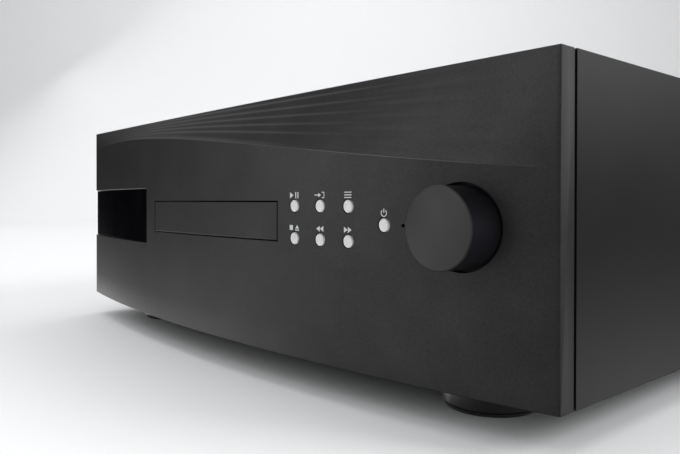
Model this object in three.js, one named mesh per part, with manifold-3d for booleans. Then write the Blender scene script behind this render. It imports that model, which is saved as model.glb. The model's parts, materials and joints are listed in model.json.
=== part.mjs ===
// A full-width disc player: bowed and fluted aluminium fascia, plate casework, front-loading drawer
// mechanism, seven push buttons, a rotary control, mains and audio sockets.
//
// Millimetres, +Z up. Everything is laid out in the case frame: X runs along the fascia, Y runs back from
// the plane of the fascia's two front corners, and Z runs up from the underside of the case. The exported
// group moves that frame so that the origin is at the middle of the overall footprint, on the floor.

import * as THREE from "three";
import { mergeVertices } from "three/addons/utils/BufferGeometryUtils.js";
import Module from "manifold-3d";

const wasm = await Module();
wasm.setup();

// ---------------------------------------------------------------- driving dimensions

const WIDTH = 460;
const HEIGHT = 141.3;
const HALF = WIDTH / 2;
const CASE_BACK = 345; // outer face of the rear panel
const GAP = 0.3; // between pieces that meet

const FASCIA_END = 10; // thickness of the fascia at its two ends
const BOW = 20.7; // how far the middle of the lower face stands forward
const TOP_BOW = 3; // the same at the top edge
const FLUTES = 6;
const FLUTE_DEPTH = 0.4;
const POCKET_WALL = 8;
const POCKET = { halfWidth: 212, bottom: 12, top: 92 };
const GROOVE = 1.6; // shadow gap between fascia and casework

const PANEL = 5; // side panels
const COVER = 4;
const BASE = 2.5;
const REAR = 3;
const INSIDE = HALF - PANEL - GAP; // half width of what lies between the side panels

const CONTROLS_Z = 70.8; // height of the centre line of drawer, display and controls
const DOOR = { halfWidth: 73, bottom: 60.7, top: 81.2, back: -12.5 };
const SLOT_GAP = 0.7;
const WINDOW = { left: -HALF, right: -89, bottom: 51.4, top: 90.6, recess: 1, thick: 4 };
const BUTTON = { radius: 3.1, proud: 0.5, hole: 3.45 };
const BUTTON_BOARD_Y = 2.5;
const BUTTONS = {
  button_play_pause: [87.4, 79.3],
  button_input: [106.5, 79.3],
  button_menu: [125.7, 79.3],
  button_stop_eject: [87.4, 62.4],
  button_rewind: [106.5, 62.4],
  button_forward: [125.7, 62.4],
  button_power: [147.8, CONTROLS_Z],
};
const STATUS_LED_X = 158.6;
const KNOB = { x: 187.8, radius: 17.6, front: -22, back: -3.4, chamfer: 0.6, well: 1.4 };

const FOOT = { x: 166.7, front: 43.4, back: 300, radius: 23.3, height: 18, pad: 1.7 };

const DISC_Y = 53; // the turntable's axis, behind the fascia's corners
const DISC_RADIUS = 60.6;
const TRAY = { halfWidth: 64, bottom: 64, top: 72, front: -65, back: 122, slot: 18 };
const MODULE = 1; // gear tooth size
const PRESSURE = THREE.MathUtils.degToRad(20);
const ADDENDUM = 0.8 * MODULE;
const DEDENDUM = 1.1 * MODULE;
const TOOTH_EASE = 0.12; // taken off each flank at the pitch line
const RACK_PITCH_X = -57;
const TRAY_GEAR = { x: -45, y: -25, teeth: 24 };
const PULLEY_GEAR = { x: -27, y: -25, teeth: 12, pulley: 11 };
const MOTOR_PULLEY = { x: 12, y: -27, radius: 4 };
const SLED_GEAR = { x: 37.5, y: 47, teeth: 16 };
const GEAR_Z = [60.6, 63.6];
const PLATE_Z = [50, 52]; // the traverse's plate
const ROD = { x: 22, z: 57, radius: 1.5 };

const REAR_SOCKETS = { mains: [-180, 62], xlr_left: [85, 62], xlr_right: [130, 62], phono: [32, 62] };
const FLANGE = 1.7; // how far a socket's flange stands off the rear panel
const REARMOST = 357; // the ends of the phono barrels
const XLR_BARREL = 11.7;
const PHONO_PITCH = 18;

// ---------------------------------------------------------------- materials

const paint = (color, roughness, metalness) =>
  new THREE.MeshStandardMaterial({ color, roughness, metalness });
const anodised = paint(0x2b2c2e, 0.45, 0.6);
const powderCoat = paint(0x303133, 0.6, 0.2);
const knobBlack = paint(0x1c1d20, 0.35, 0.6);
const buttonSilver = paint(0xe6e6e4, 0.4, 0.3);
const smokedGlass = paint(0x050506, 0.08, 0);
const rubber = paint(0x131313, 0.85, 0);
const blackPlastic = paint(0x17181a, 0.55, 0);
const steel = paint(0x9a9da0, 0.35, 0.9);
const brass = paint(0xb09048, 0.35, 0.9);
const boardGreen = paint(0x1f4a33, 0.6, 0);
const whitePlastic = paint(0xd8d6cf, 0.5, 0);
const winding = paint(0x7a4a22, 0.6, 0.1);

// ---------------------------------------------------------------- shape helpers

// A closed three.js geometry as a solid that can be joined and cut.
function solid(geometry) {
  const bare = geometry.index ? geometry.toNonIndexed() : geometry.clone();
  bare.deleteAttribute("normal");
  bare.deleteAttribute("uv");
  const merged = mergeVertices(bare, 1e-3);
  const triangles = [];
  const index = merged.index.array;
  for (let i = 0; i < index.length; i += 3) {
    const [a, b, c] = [index[i], index[i + 1], index[i + 2]];
    if (a !== b && b !== c && c !== a) triangles.push(a, b, c);
  }
  const vertProperties = merged.attributes.position.array;
  const triVerts = new Uint32Array(triangles);
  const made = new wasm.Manifold(new wasm.Mesh({ numProp: 3, vertProperties, triVerts }));
  if (made.volume() > 0) return made;
  for (let i = 0; i < triVerts.length; i += 3) {
    [triVerts[i + 1], triVerts[i + 2]] = [triVerts[i + 2], triVerts[i + 1]];
  }
  return new wasm.Manifold(new wasm.Mesh({ numProp: 3, vertProperties, triVerts }));
}

function block(x0, x1, y0, y1, z0, z1) {
  const box = new THREE.BoxGeometry(x1 - x0, y1 - y0, z1 - z0);
  return solid(box.translate((x0 + x1) / 2, (y0 + y1) / 2, (z0 + z1) / 2));
}

// A round bar along Y or Z; a and b are the two other coordinates of its axis.
function bar(axis, radius, a, b, from, to, segments = 24) {
  const cylinder = new THREE.CylinderGeometry(radius, radius, to - from, segments);
  const middle = (from + to) / 2;
  if (axis === "y") return solid(cylinder.translate(a, middle, b));
  return solid(cylinder.rotateX(Math.PI / 2).translate(a, b, middle));
}

// A profile of [radius, height] points turned round the Y axis, or round Z where axis is "z".
function turned(profile, segments = 32, axis = "y") {
  const lathe = new THREE.LatheGeometry(profile.map(([r, h]) => new THREE.Vector2(r, h)), segments);
  if (axis === "z") lathe.rotateX(Math.PI / 2);
  return solid(lathe);
}

// An outline in plan, extruded from z0 to z1.
function prism(outline, z0, z1, hole) {
  const shape = new THREE.Shape(outline.map(([x, y]) => new THREE.Vector2(x, y)));
  if (hole) shape.holes.push(new THREE.Path(hole.map(([x, y]) => new THREE.Vector2(x, y))));
  const extruded = new THREE.ExtrudeGeometry(shape, { depth: z1 - z0, bevelEnabled: false });
  return solid(extruded.translate(0, 0, z0));
}

const join = (...solids) => solids.reduce((all, next) => all.add(next));
const cut = (from, ...solids) => solids.reduce((left, next) => left.subtract(next), from);

function piece(parent, name, shape, material, place = [0, 0, 0]) {
  const mesh = shape.getMesh();
  const positions = new Float32Array(mesh.numVert * 3);
  for (let i = 0; i < mesh.numVert; i++) {
    positions.set(mesh.vertProperties.subarray(i * mesh.numProp, i * mesh.numProp + 3), i * 3);
  }
  const geometry = new THREE.BufferGeometry();
  geometry.setAttribute("position", new THREE.BufferAttribute(positions, 3));
  geometry.setIndex(new THREE.BufferAttribute(mesh.triVerts, 1));
  geometry.computeVertexNormals();
  const node = new THREE.Mesh(geometry, material);
  node.name = name;
  node.position.set(...place);
  parent.add(node);
  return node;
}

const steps = (from, to, count) =>
  Array.from({ length: count + 1 }, (_, i) => from + ((to - from) * i) / count);

// ---------------------------------------------------------------- the fascia's face

const bowAt = (x) => BOW * (1 - (x / HALF) ** 2);

// How far the crease under the flutes lies below the top edge.
function creaseDrop(x) {
  const u = x / HALF;
  return 22.4 + 23.8 * u + 8.5 * u ** 2 - 7.8 * u ** 3;
}

// The flutes fade out towards both ends.
function fluteFade(x) {
  return THREE.MathUtils.smoothstep(x, -215, -90) * (1 - THREE.MathUtils.smoothstep(x, 120, 208));
}

// The face's Y at a share of the way down from the top edge (0) to the crease (1).
function flutedFace(x, share) {
  const lean = TOP_BOW * (1 - (x / HALF) ** 2);
  const across = (share * FLUTES) % 1;
  const scoop = FLUTE_DEPTH * fluteFade(x) * 4 * across * (1 - across);
  return -THREE.MathUtils.lerp(lean, bowAt(x), share) + scoop;
}

// A plan outline between two curves that follow the bow, offset back from the face.
function bowedBand(x0, x1, frontOffset, backOffset, count) {
  const front = steps(x0, x1, count).map((x) => [x, -bowAt(x) + frontOffset]);
  const back = steps(x1, x0, count).map((x) => [x, -bowAt(x) + backOffset]);
  return [...front, ...back];
}

function fasciaBlank() {
  const columns = steps(-HALF, HALF, 24);
  const shares = steps(1, 0, FLUTES * 2);
  const rows = (x) => [
    [-bowAt(x), 0],
    ...shares.map((share) => [flutedFace(x, share), HEIGHT - share * creaseDrop(x)]),
    [FASCIA_END, HEIGHT],
    [FASCIA_END, 0],
  ];
  const positions = [];
  const index = [];
  const sections = columns.map((x) => rows(x).map(([y, z]) => positions.push(x, y, z) / 3 - 1));
  for (let i = 0; i + 1 < sections.length; i++) {
    for (let j = 0; j < sections[i].length; j++) {
      const k = (j + 1) % sections[i].length;
      const [a, b, c, d] = [sections[i][j], sections[i + 1][j], sections[i + 1][k], sections[i][k]];
      index.push(a, b, c, a, c, d);
    }
  }
  for (const [section, flip] of [[sections[0], true], [sections.at(-1), false]]) {
    const outline = section.map((v) => new THREE.Vector2(positions[v * 3 + 1], positions[v * 3 + 2]));
    for (const [a, b, c] of THREE.ShapeUtils.triangulateShape(outline, [])) {
      index.push(section[a], section[flip ? c : b], section[flip ? b : c]);
    }
  }
  const geometry = new THREE.BufferGeometry();
  geometry.setAttribute("position", new THREE.Float32BufferAttribute(positions, 3));
  geometry.setIndex(index);
  return solid(geometry);
}

function fascia() {
  const along = steps(-POCKET.halfWidth, POCKET.halfWidth, 16);
  const pocket = along.map((x) => [x, -bowAt(x) + POCKET_WALL]);
  pocket.push([POCKET.halfWidth, FASCIA_END + 1], [-POCKET.halfWidth, FASCIA_END + 1]);
  const seat = WINDOW.recess + WINDOW.thick + GAP;
  const cuts = [
    prism(pocket, POCKET.bottom, POCKET.top),
    prism(bowedBand(WINDOW.left - 5, WINDOW.right, -30, seat, 8), WINDOW.bottom, WINDOW.top),
    block(WINDOW.left + 24, WINDOW.right - 17, -30, FASCIA_END + 1, WINDOW.bottom + 7, WINDOW.top - 7),
    block(
      -DOOR.halfWidth - SLOT_GAP, DOOR.halfWidth + SLOT_GAP, -40, FASCIA_END + 1,
      DOOR.bottom - SLOT_GAP, DOOR.top + SLOT_GAP,
    ),
    ...Object.values(BUTTONS).map(([x, z]) => bar("y", BUTTON.hole, x, z, -40, 5, 16)),
    bar("y", 0.9, STATUS_LED_X, CONTROLS_Z, -40, 5, 8),
    bar("y", KNOB.radius + KNOB.well, KNOB.x, CONTROLS_Z, -40, KNOB.back + 0.8, 28),
    bar("y", 3.7, KNOB.x, CONTROLS_Z, -40, 5, 16),
  ];
  return cut(fasciaBlank(), ...cuts);
}

// ---------------------------------------------------------------- casework

function addCasework(box) {
  piece(box, "front_panel", fascia(), anodised);

  const subframe = cut(
    block(-INSIDE, INSIDE, FASCIA_END + GAP, FASCIA_END + 2.7, BASE + 0.8, HEIGHT - COVER - GAP),
    block(-DOOR.halfWidth - 1.5, DOOR.halfWidth + 1.5, 0, 20, DOOR.bottom - 1.2, DOOR.top + 1.3),
  );
  piece(box, "front_subframe", subframe, blackPlastic);

  const front = FASCIA_END + GROOVE;
  for (const [name, side] of [["left_side_panel", -1], ["right_side_panel", 1]]) {
    const [inner, outer] = [side * (HALF - PANEL), side * HALF];
    const span = (a, b) => [Math.min(a, b), Math.max(a, b)];
    const across = span(inner - side * 12, inner + side);
    const rail = (z0, z1) => block(...across, 13, CASE_BACK - REAR - GAP, z0, z1);
    const panel = join(
      block(...span(inner, outer), front, CASE_BACK, 0, HEIGHT),
      rail(126, HEIGHT - COVER - GAP),
      rail(BASE + 0.8, 11),
    );
    const screwHoles = SCREWS.map(([x, y]) => bar("z", 1.9, side * Math.abs(x), y, 120, 140, 12));
    piece(box, name, cut(panel, ...screwHoles), powderCoat);
  }

  const countersinks = SCREWS.map(([x, y]) => screwShape(0.35).translate([x, y, HEIGHT]));
  const cover = block(-INSIDE, INSIDE, front, CASE_BACK, HEIGHT - COVER, HEIGHT);
  piece(box, "top_cover", cut(cover, ...countersinks), powderCoat);
  SCREW_NAMES.forEach((name, i) => {
    const hexSocket = bar("z", 1.2, 0, 0, -1.6, 1, 6);
    piece(box, name, cut(screwShape(0), hexSocket), steel, [...SCREWS[i], HEIGHT]);
  });

  const vents = steps(-3, 3, 6).flatMap((i) => [-150, 150].map((x) => {
    return block(x + i * 14 - 2, x + i * 14 + 2, 150, 200, -1, 5);
  }));
  const base = block(-INSIDE, INSIDE, 13, CASE_BACK - REAR - GAP, 0.5, 0.5 + BASE);
  piece(box, "bottom_plate", cut(base, ...vents), powderCoat);

  piece(box, "rear_panel", rearPanel(), powderCoat);
}

const SCREWS = [[-218, 30], [218, 30], [-218, 326], [218, 326]];
const SCREW_NAMES = [
  "cover_screw_front_left", "cover_screw_front_right", "cover_screw_rear_left", "cover_screw_rear_right",
];

// A countersunk screw, its head's top at z 0; ease makes the hole for it.
function screwShape(ease) {
  const [head, shank] = [3.4 + ease, 1.5 + ease];
  const tip = -10 - ease;
  return turned([[0, tip], [shank, tip], [shank, -2.2], [head, -0.3], [head, ease], [0, ease]], 12, "z");
}

function rearPanel() {
  const plate = block(-INSIDE, INSIDE, CASE_BACK - REAR, CASE_BACK, BASE + 0.8, HEIGHT - COVER - GAP);
  const [mainsX, mainsZ] = REAR_SOCKETS.mains;
  const [phonoX, phonoZ] = REAR_SOCKETS.phono;
  const through = (x0, x1, z0, z1) => block(x0, x1, CASE_BACK - 9, CASE_BACK + 5, z0, z1);
  const holes = [
    through(mainsX - 14.7, mainsX + 14.7, mainsZ - 23.3, mainsZ + 23.3),
    ...["xlr_left", "xlr_right"].map((n) => {
      return bar("y", XLR_BARREL + GAP, ...REAR_SOCKETS[n], CASE_BACK - 9, CASE_BACK + 5, 24);
    }),
    through(phonoX - 6.3, phonoX + 6.3, phonoZ - 15.3, phonoZ + 15.3),
    ...steps(0, 9, 9).map((i) => through(-110 + i * 8, -106.5 + i * 8, 40, 84)),
  ];
  return cut(plate, ...holes);
}

function addFeet(box) {
  const { radius, height, pad } = FOOT;
  const body = turned([
    [0, -height + pad + GAP], [radius - 0.6, -height + pad + GAP], [radius, -height + pad + 0.9],
    [radius, -0.8], [radius - 0.8, 0.2], [0, 0.2],
  ], 24, "z");
  const sole = turned([
    [0, -height], [radius - 1.1, -height], [radius - 0.6, -height + 0.5],
    [radius - 0.6, -height + pad], [0, -height + pad],
  ], 24, "z");
  for (const [row, y] of [["front", FOOT.front], ["rear", FOOT.back]]) {
    for (const [side, x] of [["left", -FOOT.x], ["right", FOOT.x]]) {
      piece(box, `foot_${row}_${side}`, body, blackPlastic, [x, y, 0]);
      piece(box, `foot_pad_${row}_${side}`, sole, rubber, [x, y, 0]);
    }
  }
}

// ---------------------------------------------------------------- controls on the fascia

function addDisplay(box) {
  const { left, right, bottom, top, recess, thick } = WINDOW;
  const outline = bowedBand(left + GAP, right - GAP, recess, recess + thick, 8);
  const glass = prism(outline, bottom + GAP, top - GAP);
  piece(box, "display_window", glass, smokedGlass);

  const module = join(
    block(-52, 52, 2, 3.6, -14, 14), // circuit board
    block(-48, 48, 0, 2.5, -11, 11), // display glass
    block(-40, -22, 3, 4.4, -6, 6), // driver chip
  );
  const node = piece(box, "display_module", module, boardGreen, [-156, -1.1, CONTROLS_Z]);
  node.rotation.z = -Math.atan(12.7 / 104); // it follows the bow
}

function addButtons(box) {
  const switchTop = BUTTON_BOARD_Y - 3.5;
  for (const [name, [x, z]] of Object.entries(BUTTONS)) {
    const face = -bowAt(x);
    const wallBack = face + POCKET_WALL;
    const { radius, proud } = BUTTON;
    const cap = turned([
      [0, face - proud], [radius - 0.5, face - proud + 0.05], [radius, face - proud + 0.45],
      [radius, wallBack + 0.9], [4.6, wallBack + 0.9], [4.6, wallBack + 1.9],
      [1.5, wallBack + 1.9], [1.5, switchTop + 0.8], [0, switchTop + 0.8],
    ], 16);
    piece(box, name, cap, buttonSilver, [x, 0, z]);
  }

  const boardBack = BUTTON_BOARD_Y + 1.6;
  const parts = [block(80, 163, BUTTON_BOARD_Y, boardBack, 55.5, 86)];
  for (const [x, z] of Object.values(BUTTONS)) {
    const housing = block(x - 3, x + 3, switchTop, BUTTON_BOARD_Y + 0.2, z - 3, z + 3);
    parts.push(cut(housing, bar("y", 1.9, x, z, switchTop - 1, switchTop + 2.6, 8)));
  }
  for (const x of [84, 159]) {
    for (const z of [59, 83]) parts.push(bar("y", 2, x, z, boardBack - 0.2, FASCIA_END, 8));
  }
  piece(box, "button_board", join(...parts), boardGreen);

  const ledFace = -bowAt(STATUS_LED_X);
  const led = turned([
    [0, ledFace + 1.2], [0.6, ledFace + 1.5], [0.6, ledFace + POCKET_WALL + 0.6],
    [1.6, ledFace + POCKET_WALL + 0.6], [1.6, BUTTON_BOARD_Y - GAP], [0, BUTTON_BOARD_Y - GAP],
  ], 8);
  piece(box, "status_led", led, smokedGlass, [STATUS_LED_X, 0, CONTROLS_Z]);
}

function addKnob(box) {
  const { x, radius, front, back, chamfer } = KNOB;
  const profile = [
    [0, front], [radius - chamfer, front], [radius, front + chamfer], [radius, back],
    [15.2, back], [15.2, -16], [6.5, -16], [6.5, back], [2.8, back], [2.8, -18], [0, -18],
  ];
  piece(box, "control_knob", turned(profile, 32), knobBlack, [x, 0, CONTROLS_Z]);
  piece(box, "encoder_shaft", bar("y", 2.5, 0, 0, -17.5, 8, 12), steel, [x, 0, CONTROLS_Z]);
  const encoder = cut(
    join(block(-6.5, 6.5, 3.6, 9.6, -6.5, 6.5), bar("y", 3.4, 0, 0, back + 0.5, 4, 16)),
    bar("y", 2.8, 0, 0, -10, 8.4, 16),
  );
  piece(box, "knob_encoder", encoder, steel, [x, 0, CONTROLS_Z]);
}

// ---------------------------------------------------------------- gears

const involute = (angle) => Math.tan(angle) - angle;

// The outline of an involute gear with a tooth centred on the angle turn.
function gearOutline(teeth, turn = 0) {
  const pitchRadius = (MODULE * teeth) / 2;
  const baseRadius = pitchRadius * Math.cos(PRESSURE);
  const root = pitchRadius - DEDENDUM;
  const tip = pitchRadius + ADDENDUM;
  const halfTooth = (radius) => {
    const angle = Math.acos(Math.min(1, baseRadius / radius));
    return Math.PI / (2 * teeth) - TOOTH_EASE / pitchRadius + involute(PRESSURE) - involute(angle);
  };
  const undercut = baseRadius > root + 0.5;
  const radii = undercut ? [root, baseRadius, pitchRadius, tip] : [root, pitchRadius, tip];
  const outline = [];
  for (let tooth = 0; tooth < teeth; tooth++) {
    const centre = turn + (2 * Math.PI * tooth) / teeth;
    for (const r of radii) outline.push([r, centre - halfTooth(r)]);
    for (const r of [...radii].reverse()) outline.push([r, centre + halfTooth(r)]);
  }
  return outline.map(([r, a]) => [r * Math.cos(a), r * Math.sin(a)]);
}

// A rack along Y with its teeth towards +X and a space centred on y = space.
function rack(pitchX, backX, from, to, space, z0, z1) {
  const pitch = Math.PI * MODULE;
  const lean = Math.tan(PRESSURE);
  const half = pitch / 4 - TOOTH_EASE;
  const outline = [[backX, from], [pitchX - DEDENDUM, from]];
  const first = Math.ceil((from + pitch / 2 - space) / pitch - 0.5);
  for (let k = first; space + (k + 1) * pitch < to; k++) {
    const y = space + (k + 0.5) * pitch;
    outline.push(
      [pitchX - DEDENDUM, y - half - DEDENDUM * lean], [pitchX + ADDENDUM, y - half + ADDENDUM * lean],
      [pitchX + ADDENDUM, y + half - ADDENDUM * lean], [pitchX - DEDENDUM, y + half + DEDENDUM * lean],
    );
  }
  outline.push([pitchX - DEDENDUM, to], [backX, to]);
  return prism(outline, z0, z1);
}

// ---------------------------------------------------------------- the drawer

function addDrawer(drive) {
  const doorCurve = steps(-DOOR.halfWidth, DOOR.halfWidth, 8).map((x) => [x, -bowAt(x) - DISC_Y]);
  const back = DOOR.back - DISC_Y;
  const outline = [...doorCurve, [DOOR.halfWidth, back], [-DOOR.halfWidth, back]];
  const door = prism(outline, DOOR.bottom, DOOR.top);
  piece(drive, "tray_door", door, anodised);

  const { halfWidth, bottom, top, front, slot } = TRAY;
  const plate = join(
    block(-halfWidth, halfWidth, front + 0.8, TRAY.back, bottom, top),
    rack(RACK_PITCH_X, -halfWidth, -40, 121, TRAY_GEAR.y, GEAR_Z[0], bottom + 0.5),
  );
  const tray = cut(
    plate,
    bar("z", DISC_RADIUS, 0, 0, top - 3, top + 1, 48),
    bar("z", 40.6, 0, 0, top - 4.2, top, 32),
    bar("z", slot, 0, 0, bottom - 5, top + 1, 24),
    block(-slot, slot, 0, TRAY.back + 1, bottom - 5, top + 1),
  );
  piece(drive, "disc_tray", tray, blackPlastic);
}

function addDriveChassis(drive) {
  const [front, back] = [-37, 139];
  const floor = cut(block(-76, 76, front, back, 46, 49), block(-48, 48, -16.5, 119, 40, 60));
  const parts = [floor];
  for (const side of [-1, 1]) {
    const between = (a, b) => [Math.min(side * a, side * b), Math.max(side * a, side * b)];
    const ledgeTop = side < 0 ? GEAR_Z[0] - 0.4 : TRAY.bottom - GAP;
    parts.push(block(...between(66, 70), front, back, 48.5, 76));
    parts.push(block(...between(61, 66.5), front, back, ledgeTop - 2.7, ledgeTop));
    parts.push(block(...between(62, 66.5), 20, back, TRAY.top + GAP, TRAY.top + 2.3));
    parts.push(block(...between(48.5, 56), 107, 117, 48.5, 56)); // bearing block for the traverse
    for (const y of [front + 6, back - 6]) parts.push(bar("z", 4, side * 71, y, BASE + 0.8, 47, 12));
  }
  for (const { x, y } of [TRAY_GEAR, PULLEY_GEAR]) {
    parts.push(bar("z", 2, x, y, 48.5, GEAR_Z[1] + 0.1, 12));
  }
  const pivotHole = block(-60, 60, 109.6, 114.4, 50.6, 55.4);
  const motorHole = bar("z", 1.6, MOTOR_PULLEY.x, MOTOR_PULLEY.y, 40, 60, 12);
  piece(drive, "drive_chassis", cut(join(...parts), pivotHole, motorHole), blackPlastic);
}

function addLoadingGear(drive) {
  const [low, high] = GEAR_Z;
  const bore = bar("z", 2.3, 0, 0, 40, 70, 12);
  const trayHub = bar("z", 4, 0, 0, 49.4, low + 0.2, 16);
  const trayGear = join(prism(gearOutline(TRAY_GEAR.teeth), low, high), trayHub);
  piece(drive, "tray_gear", cut(trayGear, bore), whitePlastic, [TRAY_GEAR.x, TRAY_GEAR.y, 0]);

  const halfStep = Math.PI / PULLEY_GEAR.teeth;
  const pulleyGear = join(
    prism(gearOutline(PULLEY_GEAR.teeth, halfStep), low, high),
    bar("z", 3.6, 0, 0, 56.9, low + 0.2, 16),
    pulley(PULLEY_GEAR.pulley),
  );
  piece(drive, "pulley_gear", cut(pulleyGear, bore), whitePlastic, [PULLEY_GEAR.x, PULLEY_GEAR.y, 0]);

  const motorPulley = cut(pulley(MOTOR_PULLEY.radius), bar("z", 1.3, 0, 0, 40, 70, 12));
  piece(drive, "motor_pulley", motorPulley, brass, [MOTOR_PULLEY.x, MOTOR_PULLEY.y, 0]);
  const motor = join(bar("z", 9, 0, 0, 26, 45.7, 20), bar("z", 1, 0, 0, 45.5, 57.6, 8));
  piece(drive, "loading_motor", motor, steel, [MOTOR_PULLEY.x, MOTOR_PULLEY.y, 0]);

  const ease = 0.3;
  const inner = beltLoop(PULLEY_GEAR.pulley - 1.4 + ease, MOTOR_PULLEY.radius - 1.4 + ease);
  const outer = beltLoop(PULLEY_GEAR.pulley - 0.2 + ease, MOTOR_PULLEY.radius - 0.2 + ease);
  piece(drive, "loading_belt", prism(outer, 55.1, 56.1, inner), rubber);
}

// A grooved pulley between z 54 and 57.
function pulley(radius) {
  const groove = radius - 1.4;
  const profile = [
    [0, 54], [radius, 54], [radius, 54.6], [groove, 54.9],
    [groove, 56.3], [radius, 56.6], [radius, 57], [0, 57],
  ];
  return turned(profile, 20, "z");
}

// The loop round both pulleys' grooves: two arcs joined by tangents.
function beltLoop(bigRadius, smallRadius) {
  const [dx, dy] = [MOTOR_PULLEY.x - PULLEY_GEAR.x, MOTOR_PULLEY.y - PULLEY_GEAR.y];
  const heading = Math.atan2(dy, dx);
  const open = Math.acos((bigRadius - smallRadius) / Math.hypot(dx, dy));
  const arc = (gear, r, from, to) =>
    steps(from, to, 8).map((a) => [gear.x + r * Math.cos(a), gear.y + r * Math.sin(a)]);
  return [
    ...arc(MOTOR_PULLEY, smallRadius, heading - open, heading + open),
    ...arc(PULLEY_GEAR, bigRadius, heading + open, heading + 2 * Math.PI - open),
  ];
}

// ---------------------------------------------------------------- the traverse: turntable and pickup

function addTraverse(drive) {
  const [low, high] = PLATE_Z;
  const holder = (x, y) => block(x - 3.5, x + 3.5, y, y + 5, high - 0.5, ROD.z + 3);
  const plate = join(
    block(-40, 40, -13, 115, low, high),
    block(30, 46, 37, 57, low, high),
    block(-46, 46, 110, 114, low + 1, high + 2.2),
    ...[-46, 46].map((x) => block(x - 6, x + 6, 110.4, 113.6, 51.4, 54.6)), // trunnions
    ...[-ROD.x, ROD.x].flatMap((x) => [holder(x, 7), holder(x, 80)]),
  );
  const openings = [
    block(-17, 17, 16, 78, 40, 60),
    bar("z", 1.6, SLED_GEAR.x, SLED_GEAR.y, 40, 60, 12),
    ...[-ROD.x, ROD.x].map((x) => bar("y", ROD.radius + GAP, x, ROD.z, 8, 84, 12)),
  ];
  piece(drive, "traverse_plate", cut(plate, ...openings), steel);
  for (const [name, x] of [["guide_rod_left", -ROD.x], ["guide_rod_right", ROD.x]]) {
    piece(drive, name, bar("y", ROD.radius, x, ROD.z, 8.5, 83.5, 12), steel);
  }

  const motor = cut(bar("z", 13, 0, 0, high + GAP, 60, 24), bar("z", 1.8, 0, 0, 50, 62, 12));
  piece(drive, "spindle_motor", motor, steel);
  const hub = turned([
    [0, 53], [1.4, 53], [1.4, 61], [6, 61.5], [6, 69],
    [14.5, 69], [14.5, 70.5], [7.4, 70.5], [6.6, 72.4], [0, 72.4],
  ], 24, "z");
  piece(drive, "turntable_hub", hub, blackPlastic);

  const sled = join(
    block(-26.2, 26.2, 17, 43, 53.5, 61),
    block(-15, 15, 17, 43, 60.5, 66.5),
    bar("z", 3.5, 0, 25, 66, 68.4, 16), // objective lens
    rack(29.5, 25.8, 13, 53, SLED_GEAR.y, 54, 57),
  );
  const rodHoles = [-ROD.x, ROD.x].map((x) => bar("y", ROD.radius + 0.4, x, ROD.z, 10, 50, 12));
  piece(drive, "optical_pickup", cut(sled, ...rodHoles), blackPlastic);

  const sledGear = cut(prism(gearOutline(SLED_GEAR.teeth), 54, 57), bar("z", 1.3, 0, 0, 40, 70, 12));
  piece(drive, "sled_gear", sledGear, whitePlastic, [SLED_GEAR.x, SLED_GEAR.y, 0]);
  const sledMotor = join(bar("z", 7, 0, 0, 36, low - GAP, 16), bar("z", 1, 0, 0, 49.5, 57.4, 8));
  piece(drive, "sled_motor", sledMotor, steel, [SLED_GEAR.x, SLED_GEAR.y, 0]);
}

function addClamp(drive) {
  const bridge = join(
    block(-73, 73, -13, 13, 77, 79),
    block(-73, -70.3, -13, 13, 62, 79),
    block(70.3, 73, -13, 13, 62, 79),
    bar("z", 20, 0, 0, 77, 79, 28),
  );
  piece(drive, "clamp_bridge", cut(bridge, bar("z", 13.6, 0, 0, 70, 85, 28)), steel);
  const puck = turned([
    [0, 75.2], [8.4, 75.2], [8.4, 72.3], [13, 72.3], [13, 79.4], [17, 79.4], [17, 80.8], [0, 80.8],
  ], 24, "z");
  piece(drive, "clamp_puck", puck, blackPlastic);
}

// ---------------------------------------------------------------- electronics

function boardWith(x0, x1, y0, y1, z, ...parts) {
  const post = (x, y) => bar("z", 3, x, y, BASE + 0.8, z + 0.2, 8);
  const posts = [x0 + 5, x1 - 5].flatMap((x) => [y0 + 5, y1 - 5].map((y) => post(x, y)));
  return join(block(x0, x1, y0, y1, z, z + 1.6), ...posts, ...parts);
}

function addElectronics(box) {
  const coil = [[18, 8], [22, 6], [48, 6], [52, 10], [52, 44], [48, 48], [22, 48], [18, 46], [18, 8]];
  piece(box, "toroidal_transformer", turned(coil, 28, "z"), winding, [-150, 235, 0]);
  const clamp = [
    [0, 3.3], [3, 3.3], [3, 48.3], [30, 48.3], [30, 50], [6, 51.5], [5, 51.5], [5, 56], [0, 56],
  ];
  piece(box, "transformer_clamp", turned(clamp, 24, "z"), steel, [-150, 235, 0]);

  const capacitors = [115, 145].flatMap((x) => [80, 110].map((y) => bar("z", 12, x, y, 13, 52, 16)));
  const fins = steps(0, 5, 5).map((i) => block(188, 204, 60 + i * 20, 62 + i * 20, 13, 50));
  const supply = boardWith(95, 210, 50, 175, 12, ...capacitors, block(186, 189, 58, 164, 13, 50), ...fins);
  piece(box, "power_supply_board", supply, boardGreen);

  const chips = [[40, 240, 18], [75, 270, 12], [120, 245, 22], [165, 275, 14]];
  const packages = chips.map(([x, y, size]) => {
    const half = size / 2;
    return block(x - half, x + half, y - half, y + half, 31, 34);
  });
  const mainBoard = boardWith(15, 205, 215, 315, 30, ...packages, block(90, 150, 285, 310, 31, 46));
  piece(box, "main_board", mainBoard, boardGreen);
}

// ---------------------------------------------------------------- sockets on the rear panel

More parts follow.
